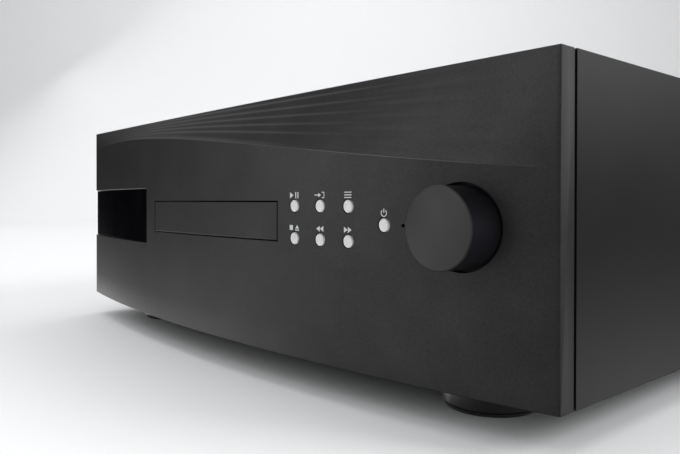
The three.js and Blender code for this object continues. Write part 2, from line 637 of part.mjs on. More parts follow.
function addRearSockets(box) {
  const [face, back] = [CASE_BACK + GAP, CASE_BACK + GAP + FLANGE];

  // Mains inlet with its switch bay below; the three pins stand in the inlet's cavity.
  const [mainsX, mainsZ] = REAR_SOCKETS.mains;
  const housing = join(block(-16, 16, face, back, -25, 25), block(-14.3, 14.3, 318, face + 0.2, -23, 23));
  const inlet = cut(housing, block(-12, 12, 332, 360, 0.5, 17), block(-11, 11, 331, 360, -20.5, -5.5));
  const pin = (x, z) => block(x - 1, x + 1, 331.5, 340.5, z - 2, z + 2);
  const mains = join(inlet, pin(-7, 6.5), pin(7, 6.5), pin(0, 11.5));
  piece(box, "mains_inlet", mains, blackPlastic, [mainsX, 0, mainsZ]);

  const rocker = [[-9.6, 0], [-9.6, -4], [-4, -7.5], [4, -7.5], [9.6, -4], [9.6, 0], [0, 1.6]];
  const pivot = [mainsX, face - 0.4, mainsZ - 13];
  piece(box, "mains_rocker", prism(rocker, -6.5, 6.5), blackPlastic, pivot).rotation.z = 0.14;

  for (const name of ["xlr_left", "xlr_right"]) {
    const [x, z] = REAR_SOCKETS[name];
    const shell = cut(
      join(block(-13, 13, face, back, -15.5, 15.5), bar("y", XLR_BARREL, 0, 0, 322, face + 0.2, 24)),
      bar("y", 9.6, 0, 0, 333, 360, 24),
    );
    const pins = [-90, 30, 150].map((degrees) => {
      const angle = THREE.MathUtils.degToRad(degrees);
      return bar("y", 1.2, 4.6 * Math.cos(angle), 4.6 * Math.sin(angle), 332.5, 341.5, 8);
    });
    piece(box, name, join(shell, ...pins), steel, [x, 0, z]);
  }

  const [phonoX, phonoZ] = REAR_SOCKETS.phono;
  const jack = (z) => cut(
    join(bar("y", 4.2, 0, z, back - 0.2, REARMOST, 16), bar("y", 6, 0, z, back - 0.2, back + 1.6, 6)),
    bar("y", 1.6, 0, z, 350, REARMOST + 1, 8),
  );
  const phono = join(
    block(-8, 8, face, back, -17, 17), block(-6, 6, 330, face + 0.2, -15, 15),
    jack(-PHONO_PITCH / 2), jack(PHONO_PITCH / 2),
  );
  piece(box, "phono_sockets", phono, brass, [phonoX, 0, phonoZ]);
}

// ---------------------------------------------------------------- the player

const player = new THREE.Group();
const box = new THREE.Group(); // the case frame
box.position.set(0, -(KNOB.front + REARMOST) / 2, FOOT.height);
player.add(box);
const drive = new THREE.Group(); // the disc's axis
drive.position.y = DISC_Y;
box.add(drive);

addCasework(box);
addFeet(box);
addDisplay(box);
addButtons(box);
addKnob(box);
addDrawer(drive);
addDriveChassis(drive);
addLoadingGear(drive);
addTraverse(drive);
addClamp(drive);
addElectronics(box);
addRearSockets(box);

export default player;
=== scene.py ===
"""Looks for a full-width disc player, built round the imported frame.

Lengths named below are in millimetres in the case frame: X along the front, Y back from the front's
corners, Z up from the underside of the case. to_row() turns them into metres in the row frame.
"""

import json
import math

import bmesh
import bpy
from mathutils import Matrix, Vector

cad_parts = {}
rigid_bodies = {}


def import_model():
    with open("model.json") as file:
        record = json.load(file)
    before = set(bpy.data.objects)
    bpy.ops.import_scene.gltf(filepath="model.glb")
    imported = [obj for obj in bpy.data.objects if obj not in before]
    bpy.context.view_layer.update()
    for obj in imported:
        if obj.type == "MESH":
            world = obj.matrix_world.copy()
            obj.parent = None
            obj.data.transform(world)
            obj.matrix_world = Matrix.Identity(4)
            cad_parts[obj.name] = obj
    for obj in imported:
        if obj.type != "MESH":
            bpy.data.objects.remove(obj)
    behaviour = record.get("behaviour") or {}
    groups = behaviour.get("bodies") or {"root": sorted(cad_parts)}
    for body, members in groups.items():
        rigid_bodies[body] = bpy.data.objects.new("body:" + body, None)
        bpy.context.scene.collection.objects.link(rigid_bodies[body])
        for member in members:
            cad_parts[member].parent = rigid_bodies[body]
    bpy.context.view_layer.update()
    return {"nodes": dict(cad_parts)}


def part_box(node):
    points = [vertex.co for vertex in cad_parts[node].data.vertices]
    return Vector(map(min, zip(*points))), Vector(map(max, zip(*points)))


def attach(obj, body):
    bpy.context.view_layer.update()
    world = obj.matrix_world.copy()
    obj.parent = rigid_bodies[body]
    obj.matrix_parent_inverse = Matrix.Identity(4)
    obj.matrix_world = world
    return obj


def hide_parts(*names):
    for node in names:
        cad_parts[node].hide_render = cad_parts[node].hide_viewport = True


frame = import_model()
MM = 0.001

# ---------------------------------------------------------------- dimensions

HALF = 230.0
HEIGHT = 141.3
FASCIA_END = 10.0
BOW = 20.7
TOP_BOW = 3.0
FLUTE_ROWS = 90  # rows of faces between the crease and the top edge
# The ridges between flutes, as shares of the way down to the crease. The last flute is wider.
FLUTE_PITCH = 0.157
FIRST_RIDGE = -0.03
LAST_RIDGE = 0.98
FLUTE_RIDGES = [*(FIRST_RIDGE + FLUTE_PITCH * i for i in range(6)), LAST_RIDGE, LAST_RIDGE + FLUTE_PITCH]
FLUTE_DEPTH = 0.012  # a share of the crease's drop
FLUTE_SKEW = 0.65  # below 1, a flute is deepest below its middle
ROUNDING = 0.35
LEDGE = 0.42  # how far the fluted face steps back at the crease
LEDGE_RISE = 0.42
POCKET_WALL = 8.0
POCKET = {"half_width": 212.0, "bottom": 12.0, "top": 92.0}
CONTROLS_Z = 70.8
DOOR = {"half_width": 73.0, "bottom": 60.7, "top": 81.2, "back": -12.5}
SLOT_GAP = 0.55
WINDOW = {"right": -89.0, "bottom": 51.4, "top": 90.6, "recess": 1.0, "thick": 4.0}
BUTTON = {"radius": 3.1, "proud": 0.5, "hole": 3.45}
BUTTONS = {
    "play_pause": (87.4, 79.3),
    "input": (106.5, 79.3),
    "menu": (125.7, 79.3),
    "stop_eject": (87.4, 62.4),
    "rewind": (106.5, 62.4),
    "forward": (125.7, 62.4),
    "power": (147.8, CONTROLS_Z),
}
STATUS_LED_X = 158.6
KNOB = {
    "x": 187.8, "radius": 17.6, "front": -22.0, "back": -3.4, "chamfer": 0.45, "well": 1.4, "waist": 0.12,
}
FOOT = {"radius": 23.3, "height": 18.0, "pad": 1.7}

FRONT_LOW, FRONT_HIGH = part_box("front_panel")
CASE_ORIGIN = Vector((0, FRONT_HIGH.y - FASCIA_END * MM, FRONT_LOW.z))


def to_row(x, y, z):
    return CASE_ORIGIN + Vector((x, y, z)) * MM


def smoothstep(value, low, high):
    t = min(1.0, max(0.0, (value - low) / (high - low)))
    return t * t * (3 - 2 * t)


def steps(start, end, count):
    return [start + (end - start) * i / count for i in range(count + 1)]


# ---------------------------------------------------------------- camera

LENS = 35.12
SHIFT_Y = -0.0305
CAMERA_AT = (363.69, -227.24, 81.99)
YAW, PITCH, ROLL = math.radians(48.892), math.radians(0.486), math.radians(-0.059)


def make_camera():
    data = bpy.data.cameras.new("camera")
    data.lens = LENS
    data.sensor_width = 36.0
    data.shift_y = SHIFT_Y
    data.clip_start = 0.01
    camera = bpy.data.objects.new("camera", data)
    bpy.context.scene.collection.objects.link(camera)
    turn = Matrix.Rotation(YAW, 4, "Z") @ Matrix.Rotation(math.pi / 2 - PITCH, 4, "X")
    camera.matrix_world = Matrix.Translation(to_row(*CAMERA_AT)) @ turn @ Matrix.Rotation(-ROLL, 4, "Z")
    bpy.context.scene.camera = camera


# ---------------------------------------------------------------- materials


def new_material(name):
    """An empty node material, its Principled shader and a function that adds a node."""
    material = bpy.data.materials.new(name)
    material.use_nodes = True
    tree = material.node_tree
    tree.nodes.clear()
    output = tree.nodes.new("ShaderNodeOutputMaterial")
    shader = tree.nodes.new("ShaderNodeBsdfPrincipled")
    tree.links.new(shader.outputs["BSDF"], output.inputs["Surface"])

    def add(kind, inputs=None, **settings):
        node = tree.nodes.new(kind)
        for key, value in settings.items():
            setattr(node, key, value)
        for key, value in (inputs or {}).items():
            if isinstance(value, bpy.types.NodeSocket):
                tree.links.new(value, node.inputs[key])
            else:
                node.inputs[key].default_value = value
        return node

    return material, shader, add, tree.links.new


def noise(add, coordinates, scale, detail=3.0, roughness=0.6):
    inputs = {"Vector": coordinates, "Scale": scale, "Detail": detail, "Roughness": roughness}
    return add("ShaderNodeTexNoise", inputs).outputs["Fac"]


def remap(add, value, low, high, out_low, out_high):
    keys = ("From Min", "From Max", "To Min", "To Max")
    inputs = dict(zip(keys, (low, high, out_low, out_high)))
    return add("ShaderNodeMapRange", {"Value": value, **inputs}).outputs["Result"]


def two_tone(add, value, dark, light):
    """A colour between dark and light, by value."""
    mix = add("ShaderNodeMix", data_type="RGBA")
    mix.inputs["A"].default_value = (*dark, 1)
    mix.inputs["B"].default_value = (*light, 1)
    mix.id_data.links.new(value, mix.inputs["Factor"])
    return mix.outputs["Result"]


def blasted(name, color, metallic, roughness, grain=2600.0, bump=0.12, spread=0.12, mottle=0.06, tooth=1.0):
    """Fine bead-blasted or moulded skin: a tight grain in height, colour and gloss, over a slow mottle.

    tooth is how many times finer the grain in height is than the one in colour.
    """
    material, shader, add, link = new_material(name)
    place = add("ShaderNodeTexCoord").outputs["Object"]
    fine = noise(add, place, grain, 2.0, 0.7)
    pits = noise(add, place, grain * tooth, 1.0, 0.5)
    slow = noise(add, place, 28.0, 3.0)
    blend = add("ShaderNodeMath", {0: fine, 1: slow}, operation="ADD").outputs[0]
    share = remap(add, blend, 0.6, 1.4, 0.0, 1.0)
    dark = [c * (1 - spread) for c in color]
    light = [c * (1 + spread) for c in color]
    link(two_tone(add, share, dark, light), shader.inputs["Base Color"])
    link(remap(add, slow, 0.3, 0.7, roughness - mottle, roughness + mottle), shader.inputs["Roughness"])
    height = add("ShaderNodeBump", {"Height": pits, "Strength": bump, "Distance": 0.00012})
    link(height.outputs["Normal"], shader.inputs["Normal"])
    shader.inputs["Metallic"].default_value = metallic
    return material


def turned_metal(name, color, metallic, roughness, centre, axis="Y", lines=5200.0, bump=0.1):
    """Metal turned on a lathe: fine rings round an axis through centre."""
    material, shader, add, link = new_material(name)
    place = add("ShaderNodeTexCoord").outputs["Object"]
    keep = Vector((1, 0, 1)) if axis == "Y" else Vector((1, 1, 0))
    moved = add("ShaderNodeVectorMath", {0: place, 1: centre}, operation="SUBTRACT").outputs[0]
    flat = add("ShaderNodeVectorMath", {0: moved, 1: keep}, operation="MULTIPLY").outputs[0]
    radius = add("ShaderNodeVectorMath", {0: flat}, operation="LENGTH").outputs["Value"]
    rest = Vector((1, 1, 1)) - keep
    along = add("ShaderNodeVectorMath", {0: moved, 1: rest}, operation="MULTIPLY").outputs[0]
    length = add("ShaderNodeVectorMath", {0: along}, operation="LENGTH").outputs["Value"]
    total = add("ShaderNodeMath", {0: radius, 1: length}, operation="ADD").outputs[0]
    inputs = {"W": total, "Scale": lines, "Detail": 2.0}
    rings = add("ShaderNodeTexNoise", inputs, noise_dimensions="1D").outputs["Fac"]
    slow = noise(add, place, 90.0)
    dark = [c * 0.85 for c in color]
    light = [c * 1.15 for c in color]
    link(two_tone(add, remap(add, rings, 0.3, 0.7, 0.0, 1.0), dark, light), shader.inputs["Base Color"])
    link(remap(add, slow, 0.3, 0.7, roughness - 0.04, roughness + 0.04), shader.inputs["Roughness"])
    height = add("ShaderNodeBump", {"Height": rings, "Strength": bump, "Distance": 0.00006})
    link(height.outputs["Normal"], shader.inputs["Normal"])
    shader.inputs["Metallic"].default_value = metallic
    return material


def polished_dark(name, color):
    """Smoked acrylic: near black, glossy, with a faint haze and a very slight ripple."""
    material, shader, add, link = new_material(name)
    place = add("ShaderNodeTexCoord").outputs["Object"]
    haze = noise(add, place, 45.0, 4.0)
    dark = [c * 0.6 for c in color]
    light = [c * 1.5 for c in color]
    link(two_tone(add, remap(add, haze, 0.35, 0.65, 0.0, 1.0), dark, light), shader.inputs["Base Color"])
    link(remap(add, haze, 0.3, 0.7, 0.04, 0.09), shader.inputs["Roughness"])
    swell = noise(add, place, 14.0, 1.0)
    ripple = add("ShaderNodeBump", {"Height": swell, "Strength": 0.05, "Distance": 0.0004})
    link(ripple.outputs["Normal"], shader.inputs["Normal"])
    shader.inputs["IOR"].default_value = 1.2
    shader.inputs["Specular IOR Level"].default_value = 0.03
    return material


def circuit_board(name):
    """Green solder mask with tracks a shade lighter under it."""
    material, shader, add, link = new_material(name)
    place = add("ShaderNodeTexCoord").outputs["Object"]
    inputs = {"Vector": place, "Scale": 160.0}
    cells = add("ShaderNodeTexVoronoi", inputs, distance="MANHATTAN").outputs["Distance"]
    tracks = remap(add, cells, 0.25, 0.35, 0.0, 1.0)
    link(two_tone(add, tracks, (0.015, 0.06, 0.03), (0.03, 0.13, 0.06)), shader.inputs["Base Color"])
    link(remap(add, tracks, 0.0, 1.0, 0.3, 0.45), shader.inputs["Roughness"])
    height = add("ShaderNodeBump", {"Height": tracks, "Strength": 0.2, "Distance": 0.0001})
    link(height.outputs["Normal"], shader.inputs["Normal"])
    return material


def wound_tape(name, centre):
    """Varnished tape wound round a ring core, with the overlaps as radial ridges."""
    material, shader, add, link = new_material(name)
    place = add("ShaderNodeTexCoord").outputs["Object"]
    moved = add("ShaderNodeVectorMath", {0: place, 1: centre}, operation="SUBTRACT").outputs[0]
    parts = add("ShaderNodeSeparateXYZ", {"Vector": moved})
    sides = {0: parts.outputs["Y"], 1: parts.outputs["X"]}
    angle = add("ShaderNodeMath", sides, operation="ARCTAN2").outputs[0]
    turns = add("ShaderNodeMath", {0: angle, 1: 46.0}, operation="MULTIPLY").outputs[0]
    wave = add("ShaderNodeMath", {0: turns}, operation="SINE").outputs[0]
    share = remap(add, wave, -1.0, 1.0, 0.0, 1.0)
    link(two_tone(add, share, (0.24, 0.12, 0.035), (0.42, 0.25, 0.08)), shader.inputs["Base Color"])
    height = add("ShaderNodeBump", {"Height": share, "Strength": 0.5, "Distance": 0.0006})
    link(height.outputs["Normal"], shader.inputs["Normal"])
    shader.inputs["Roughness"].default_value = 0.32
    return material


KNOB_CENTRE = to_row(KNOB["x"], 0, CONTROLS_Z)
CORE_LOW, CORE_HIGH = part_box("toroidal_transformer")
MATERIALS = {
    "fascia": blasted("fascia_anodised", (0.045, 0.045, 0.0465), 0.6, 0.33, 1000.0, 0.16, 0.3, 0.01, 2.6),
    "case": blasted("case_anodised", (0.018, 0.018, 0.0192), 0.55, 0.29, 1000.0, 0.12, 0.34, 0.01, 2.6),
    "steel_coat": blasted("powder_coat", (0.016, 0.016, 0.017), 0.0, 0.5, grain=900.0, bump=0.35),
    "knob": turned_metal("knob_turned", (0.018, 0.018, 0.024), 0.4, 0.4, KNOB_CENTRE),
    # A lighter copy of the knob's metal, as painted light: the face lit brighter than the barrel, and a
    # painted highlight on the chamfer.
    "knob_face_painted_light": turned_metal("knob_face_painted_light", (0.06, 0.06, 0.06), 0.5, 0.4, KNOB_CENTRE),
    "button": blasted("button_silver", (0.93, 0.93, 0.93), 0.0, 0.35, grain=1800.0, bump=0.04, spread=0.02),
    "ink": blasted("printed_white", (0.78, 0.78, 0.78), 0.0, 0.55, grain=1500.0, bump=0.05, spread=0.05),
    "window": polished_dark("smoked_window", (0.002, 0.002, 0.003)),
    "foot": blasted("foot_plastic", (0.02, 0.02, 0.021), 0.0, 0.4, grain=1200.0, bump=0.2),
    "rubber": blasted("foot_rubber", (0.01, 0.01, 0.01), 0.0, 0.75, grain=700.0, bump=0.3),
    "moulded": blasted("moulded_black", (0.011, 0.011, 0.012), 0.0, 0.5, grain=1000.0, bump=0.25),
    # The near-black shadow finish is painted shade: on the front subframe it darkens the groove behind the
    # fascia's ends, and it fills the well round the knob.
    "shadow": blasted("subframe_and_well_painted_shade", (0.006, 0.006, 0.006), 0.0, 0.6, grain=1000.0, bump=0.2),
    "gear": blasted("gear_white", (0.6, 0.59, 0.55), 0.0, 0.42, grain=500.0, bump=0.1, spread=0.04),
    "steel": blasted("plated_steel", (0.5, 0.51, 0.53), 1.0, 0.3, grain=420.0, bump=0.08, spread=0.06),
    "gold": blasted("plated_gold", (0.8, 0.56, 0.22), 1.0, 0.24, grain=600.0, bump=0.05, spread=0.05),
    "white_plastic": blasted("white_plastic", (0.75, 0.75, 0.73), 0.0, 0.35, 900.0, 0.06, 0.03),
    "red_plastic": blasted("red_plastic", (0.5, 0.02, 0.015), 0.0, 0.35, 900.0, 0.06, 0.06),
    "board": circuit_board("circuit_board"),
    "core": wound_tape("wound_core", (CORE_LOW + CORE_HIGH) / 2),
}

NODE_MATERIALS = {
    "case": ("left_side_panel", "right_side_panel", "top_cover"),
    "steel_coat": ("bottom_plate", "rear_panel"),
    # painted shade on the front subframe, seen in the groove behind the fascia
    "shadow": ("front_subframe",),
    "moulded": ("disc_tray", "drive_chassis", "turntable_hub", "optical_pickup", "clamp_puck",
                "mains_inlet", "mains_rocker"),
    "gear": ("tray_gear", "pulley_gear", "sled_gear"),
    "steel": ("loading_motor", "traverse_plate", "guide_rod_left", "guide_rod_right", "spindle_motor",
              "sled_motor", "clamp_bridge", "encoder_shaft", "knob_encoder", "transformer_clamp",
              "cover_screw_front_left", "cover_screw_front_right", "cover_screw_rear_left",
              "cover_screw_rear_right"),
    "gold": ("motor_pulley",),
    "rubber": ("loading_belt",),
    "window": ("status_led",),
    "board": ("display_module", "button_board", "power_supply_board", "main_board"),
    "core": ("toroidal_transformer",),
}
BEVELS = {
    "left_side_panel": 0.4, "right_side_panel": 0.4, "top_cover": 0.3, "bottom_plate": 0.2,
    "rear_panel": 0.2, "disc_tray": 0.25, "mains_inlet": 0.3, "mains_rocker": 0.5, "drive_chassis": 0.2,
    "clamp_bridge": 0.2, "turntable_hub": 0.15,
}


def dress(obj, material):
    obj.data.materials.clear()
    obj.data.materials.append(MATERIALS[material])


def dress_cad_nodes():
    for material, nodes in NODE_MATERIALS.items():
        for name in nodes:
            dress(frame["nodes"][name], material)
    for name, width in BEVELS.items():
        bevel = frame["nodes"][name].modifiers.new("edge", "BEVEL")
        bevel.width = width * MM
        bevel.segments = 2
        bevel.limit_method = "ANGLE"
        bevel.angle_limit = math.radians(40)


# ---------------------------------------------------------------- mesh helpers


def finish_piece(name, mesh, material, body, replaced=(), sharp=35.0):
    mesh.validate()
    for polygon in mesh.polygons:
        polygon.use_smooth = True
    mesh.set_sharp_from_angle(angle=math.radians(sharp))
    obj = bpy.data.objects.new(name, mesh)
    bpy.context.scene.collection.objects.link(obj)
    dress(obj, material)
    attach(obj, body)
    if replaced:
        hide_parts(*replaced)
    return obj


def mesh_from(name, vertices, faces):
    mesh = bpy.data.meshes.new(name)
    mesh.from_pydata([tuple(v) for v in vertices], [], faces)
    work = bmesh.new()
    work.from_mesh(mesh)
    bmesh.ops.remove_doubles(work, verts=work.verts, dist=1e-7)
    bmesh.ops.recalc_face_normals(work, faces=work.faces)
    work.to_mesh(mesh)
    work.free()
    return mesh


def loft(rings, cap=True):
    """Vertices and faces of a tube through closed rings that have the same number of points."""
    count = len(rings[0])
    vertices = [v for ring in rings for v in ring]
    faces = []
    for i in range(len(rings) - 1):
        for j in range(count):
            k = (j + 1) % count
            faces.append((i * count + j, i * count + k, (i + 1) * count + k, (i + 1) * count + j))
    if cap:
        faces.append(tuple(range(count)))
        faces.append(tuple(range((len(rings) - 1) * count, len(rings) * count)))
    return vertices, faces


def turned(profile, x, z, segments=96, centre=None, axis="Y"):
    """[radius, height] points turned round an axis: along Y through (x, z), or up Z through centre."""
    rings = []
    for radius, height in profile:
        ring = []
        for i in range(segments):
            angle = 2 * math.pi * i / segments
            a, b = radius * math.cos(angle), radius * math.sin(angle)
            if axis == "Y":
                ring.append(to_row(x + a, height, z + b))
            else:
                ring.append(centre + Vector((a, b, height)) * MM)
        rings.append(ring)
    return loft(rings)


def cut(obj, *cutters):
    """Cuts meshes out of obj and bakes the result in."""
    for number, (vertices, faces) in enumerate(cutters):
        tool = bpy.data.objects.new("cutter", mesh_from("cutter", vertices, faces))
        bpy.context.scene.collection.objects.link(tool)
        modifier = obj.modifiers.new(f"cut{number}", "BOOLEAN")
        modifier.operation = "DIFFERENCE"
        modifier.solver = "EXACT"
        modifier.object = tool
    bpy.context.view_layer.update()
    baked = bpy.data.meshes.new_from_object(obj.evaluated_get(bpy.context.evaluated_depsgraph_get()))
    obj.modifiers.clear()
    obj.data = baked
    for tool in [o for o in bpy.data.objects if o.name.startswith("cutter")]:
        bpy.data.objects.remove(tool)


def merged(*parts):
    """Several (vertices, faces) as one."""
    vertices, faces = [], []
    for some_vertices, some_faces in parts:
        start = len(vertices)
        vertices.extend(some_vertices)
        faces.extend(tuple(i + start for i in face) for face in some_faces)
    return vertices, faces


# ---------------------------------------------------------------- the fascia's face


def bow_at(x):
    return BOW * (1 - (x / HALF) ** 2)


def crease_drop(x):
    """How far the crease under the flutes lies below the top edge."""
    u = x / HALF
    return 22.4 + 23.8 * u + 8.5 * u**2 - 7.8 * u**3


def flute_depth(x):
    return FLUTE_DEPTH * crease_drop(x) * smoothstep(x, -225, -150) * (1 - smoothstep(x, 140, 218))


def flute_wave(share):
    """Depth in a flute, 0 on a ridge and 1 at its deepest: a long fall, then a short rise."""
    for top, bottom in zip(FLUTE_RIDGES, FLUTE_RIDGES[1:]):
        if share <= bottom:
            across = (share - top) / (bottom - top)
            return math.sin(math.pi * (1 - across) ** FLUTE_SKEW) ** 2
    return 0.0


def ledge_depth(x):
    return LEDGE * smoothstep(x, -205, -160) * (1 - smoothstep(x, 190, 226))


def fluted_face(x, share):
    """The face's Y at a share of the way from the top edge (0) to the crease (1)."""
    lean = TOP_BOW * (1 - (x / HALF) ** 2)
    carved = flute_depth(x) * flute_wave(share) + ledge_depth(x) * share
    return -(lean + (bow_at(x) - lean) * share) + carved


def rect_outline(x0, x1, z0, z1, columns):
    """A rectangle's outline as a function of how far it is grown."""

    def outline(grow):
        lower = [(x, z0 - grow) for x in steps(x0 - grow, x1 + grow, columns)]
        upper = [(x, z1 + grow) for x in steps(x1 + grow, x0 - grow, columns)]
        return lower + upper

    return outline


def round_outline(x, z, radius, segments=48):
    def outline(grow):
        turn = [2 * math.pi * i / segments for i in range(segments)]
        return [(x + (radius + grow) * math.cos(a), z + (radius + grow) * math.sin(a)) for a in turn]

    return outline


def bowed_loft(outline, layers, flat_back=None):
    """A solid that follows the bow: layers are (depth behind the lower face, growth of the outline)."""
    rings = [[to_row(x, depth - bow_at(x), z) for x, z in outline(grow)] for depth, grow in layers]
    if flat_back is not None:
        rings.append([to_row(x, flat_back, z) for x, z in outline(layers[-1][1])])
    return loft(rings)


def opening(outline, chamfer=0.3, depth=45.0):
    """A cutter with a chamfered mouth."""
    return bowed_loft(outline, [(-6, 6 + chamfer), (chamfer, 0), (depth, 0)])


def bowed_bar(x0, x1, z0, z1, depth, back, edge=0.3):
    """A bar that follows the bow, with its edges eased.

    Its front lies depth behind the lower face, and back(x) is its rear.
    """
    # The eased edges: (back from the front, in from the side), then (in from the end, back from the front).
    ease = [(edge, 0), (0.3 * edge, 0.3 * edge), (0, edge), (0, 2.5 * edge)]
    ends = [(0, edge), (0.3 * edge, 0.3 * edge), (edge, 0), (2.5 * edge, 0)]
    columns = [(x0 + i, sunk) for i, sunk in ends]
    columns += [(x, 0) for x in steps(x0 + 2.5 * edge, x1 - 2.5 * edge, 60)[1:-1]]
    columns += [(x1 - i, sunk) for i, sunk in reversed(ends)]
    rings = []
    for x, sunk in columns:
        front = depth - bow_at(x)
        lower = [(front + max(b, sunk), z0 + i) for b, i in ease]
        upper = [(front + max(b, sunk), z1 - i) for b, i in reversed(ease)]
        ring = [(back(x), z0), *lower, *upper, (back(x), z1)]
        rings.append([to_row(x, y, z) for y, z in ring])
    return loft(rings)


def fascia_section(x, inset):
    """The closed outline of the fascia at x, with its corners rounded and its outside drawn in by inset."""
    low, high, back = inset, HEIGHT - inset, FASCIA_END - inset
    face = -bow_at(x) + inset
    corner = [math.radians(a) for a in (0, 22.5, 45, 67.5, 90)]
    r = ROUNDING
    points = [(face + r * (1 - math.sin(a)), low + r * (1 - math.cos(a))) for a in corner]
    crease = HEIGHT - crease_drop(x)
    points += [(face, z) for z in [*steps(low + r, crease - 4, 7)[1:], crease - 1.2, crease - 0.1, crease]]
    rows = [max(crease_drop(x) * i / FLUTE_ROWS, LEDGE_RISE + 0.1 + 0.01 * i) for i in range(1, FLUTE_ROWS)]
    ledge = fluted_face(x, 1 - LEDGE_RISE / crease_drop(x)) + inset
    points += [(face + (ledge - face) * t, crease + LEDGE_RISE * t) for t in (0.15, 0.5, 0.85)]
    for rise in [LEDGE_RISE, *rows, crease_drop(x)]:
        share = 1 - rise / crease_drop(x)
        z = crease + rise
        points.append((fluted_face(x, share) + inset, min(z, high - r)))
    top = points[-1][0]
    points += [(top + r * (1 - math.cos(a)), high - r * (1 - math.sin(a))) for a in corner[1:]]
    points += [(back - r, high), (back, high - r), (back, low + r), (back - r, low)]
    return [to_row(x, y, z) for y, z in points]


def soften_carving(mesh):
    """Keeps the flutes' ridges as fine rounded edges, not sharp ones."""
    work = bmesh.new()
    work.from_mesh(mesh)
    for edge in work.edges:
        middle = ((edge.verts[0].co + edge.verts[1].co) / 2 - CASE_ORIGIN) / MM
        if middle.z > HEIGHT - crease_drop(middle.x) - 0.5 and middle.y < FASCIA_END - 2:
            edge.smooth = True
    work.to_mesh(mesh)
    work.free()


def paint_well_shade(mesh):
    """The ring-shaped well round the knob is painted black inside, as painted shade for its dark gap."""
    mesh.materials.append(MATERIALS["shadow"])
    reach = (KNOB["radius"] + KNOB["well"] + 0.02) * MM
    for polygon in mesh.polygons:
        away = polygon.center - KNOB_CENTRE
        if math.hypot(away.x, away.z) < reach and polygon.center.y < to_row(0, 0, 0).y:
            polygon.material_index = 1


def fascia_columns():
    ends = [(HALF - ROUNDING * (1 - math.cos(math.radians(a))), ROUNDING * (1 - math.sin(math.radians(a))))
            for a in (90, 60, 30, 0)]
    middle = [(x, 0.0) for x in steps(-HALF + ROUNDING, HALF - ROUNDING, 260)]
    left = [(-x, inset) for x, inset in reversed(ends[1:])]
    return left + middle + ends[1:]


def make_fascia():
    vertices, faces = loft([fascia_section(x, inset) for x, inset in fascia_columns()])
    mesh = mesh_from("fascia", vertices, faces)
    obj = bpy.data.objects.new("fascia_blank", mesh)
    bpy.context.scene.collection.objects.link(obj)
    pocket_back = FASCIA_END + 5
    pocket_outline = rect_outline(-POCKET["half_width"], POCKET["half_width"],
                                  POCKET["bottom"], POCKET["top"], 40)
    slot = rect_outline(-DOOR["half_width"] - SLOT_GAP, DOOR["half_width"] + SLOT_GAP,
                        DOOR["bottom"] - SLOT_GAP, DOOR["top"] + SLOT_GAP, 40)
    seat = rect_outline(-HALF - 20, WINDOW["right"], WINDOW["bottom"], WINDOW["top"], 30)
    through = rect_outline(-HALF + 24, WINDOW["right"] - 17, WINDOW["bottom"] + 7, WINDOW["top"] - 7, 16)
    front = [
        opening(slot, 0.25),
        *[opening(round_outline(x, z, BUTTON["hole"])) for x, z in BUTTONS.values()],
        opening(round_outline(STATUS_LED_X, CONTROLS_Z, 0.8, 20), 0.15),
        bowed_loft(seat, [(-6, 6.25), (0.25, 0), (WINDOW["recess"] + WINDOW["thick"] + 0.3, 0)]),
        bowed_loft(round_outline(KNOB["x"], CONTROLS_Z, KNOB["radius"] + KNOB["well"], 96),
                   [(-6, 6.15), (0.15, 0)], flat_back=KNOB["back"] + 0.8),
    ]
    behind = [
        bowed_loft(pocket_outline, [(POCKET_WALL, 0)], flat_back=pocket_back),
        bowed_loft(through, [(-3, 0)], flat_back=pocket_back),
        turned([(3.7, -12), (3.7, 6)], KNOB["x"], CONTROLS_Z, 32),
    ]
    cut(obj, merged(*front), *behind)
    mesh = obj.data
    bpy.data.objects.remove(obj)
    fascia = finish_piece("fascia", mesh, "fascia", "case", ["front_panel"], sharp=32.0)
    soften_carving(fascia.data)
    # painted shade inside the well round the knob
    paint_well_shade(fascia.data)


# ---------------------------------------------------------------- pieces on the front


def make_window():
    left, right = -HALF + 0.3, WINDOW["right"] - 0.3
    rear = WINDOW["recess"] + WINDOW["thick"]
    vertices, faces = bowed_bar(left, right, WINDOW["bottom"] + 0.3, WINDOW["top"] - 0.3, WINDOW["recess"],
                                lambda x: rear - bow_at(x))
    mesh = mesh_from("display_glass", vertices, faces)
    finish_piece("display_glass", mesh, "window", "case", ["display_window"])


def make_drawer_door():
    half = DOOR["half_width"]
    vertices, faces = bowed_bar(-half, half, DOOR["bottom"], DOOR["top"], 0, lambda x: DOOR["back"])
    mesh = mesh_from("drawer_door", vertices, faces)
    finish_piece("drawer_door", mesh, "fascia", "drawer", ["tray_door"])


def make_buttons():
    radius = BUTTON["radius"]
    for name, (x, z) in BUTTONS.items():
        face = -bow_at(x)
        front = face - BUTTON["proud"]
        dome = [(radius * s, front + 0.3 * s**6) for s in (0.02, 0.3, 0.6, 0.8, 0.9)]
        rim = [(radius - 0.08, front + 0.32), (radius, front + 0.5)]
        flange = face + POCKET_WALL + 0.9
        skirt = [(radius, flange), (4.6, flange), (4.6, flange + 1), (1.5, flange + 1), (1.5, -0.2)]
        vertices, faces = turned(dome + rim + skirt, x, z, 48)
        mesh = mesh_from("cap_" + name, vertices, faces)
        finish_piece("cap_" + name, mesh, "button", "key_" + name, ["button_" + name],
                     sharp=50.0)


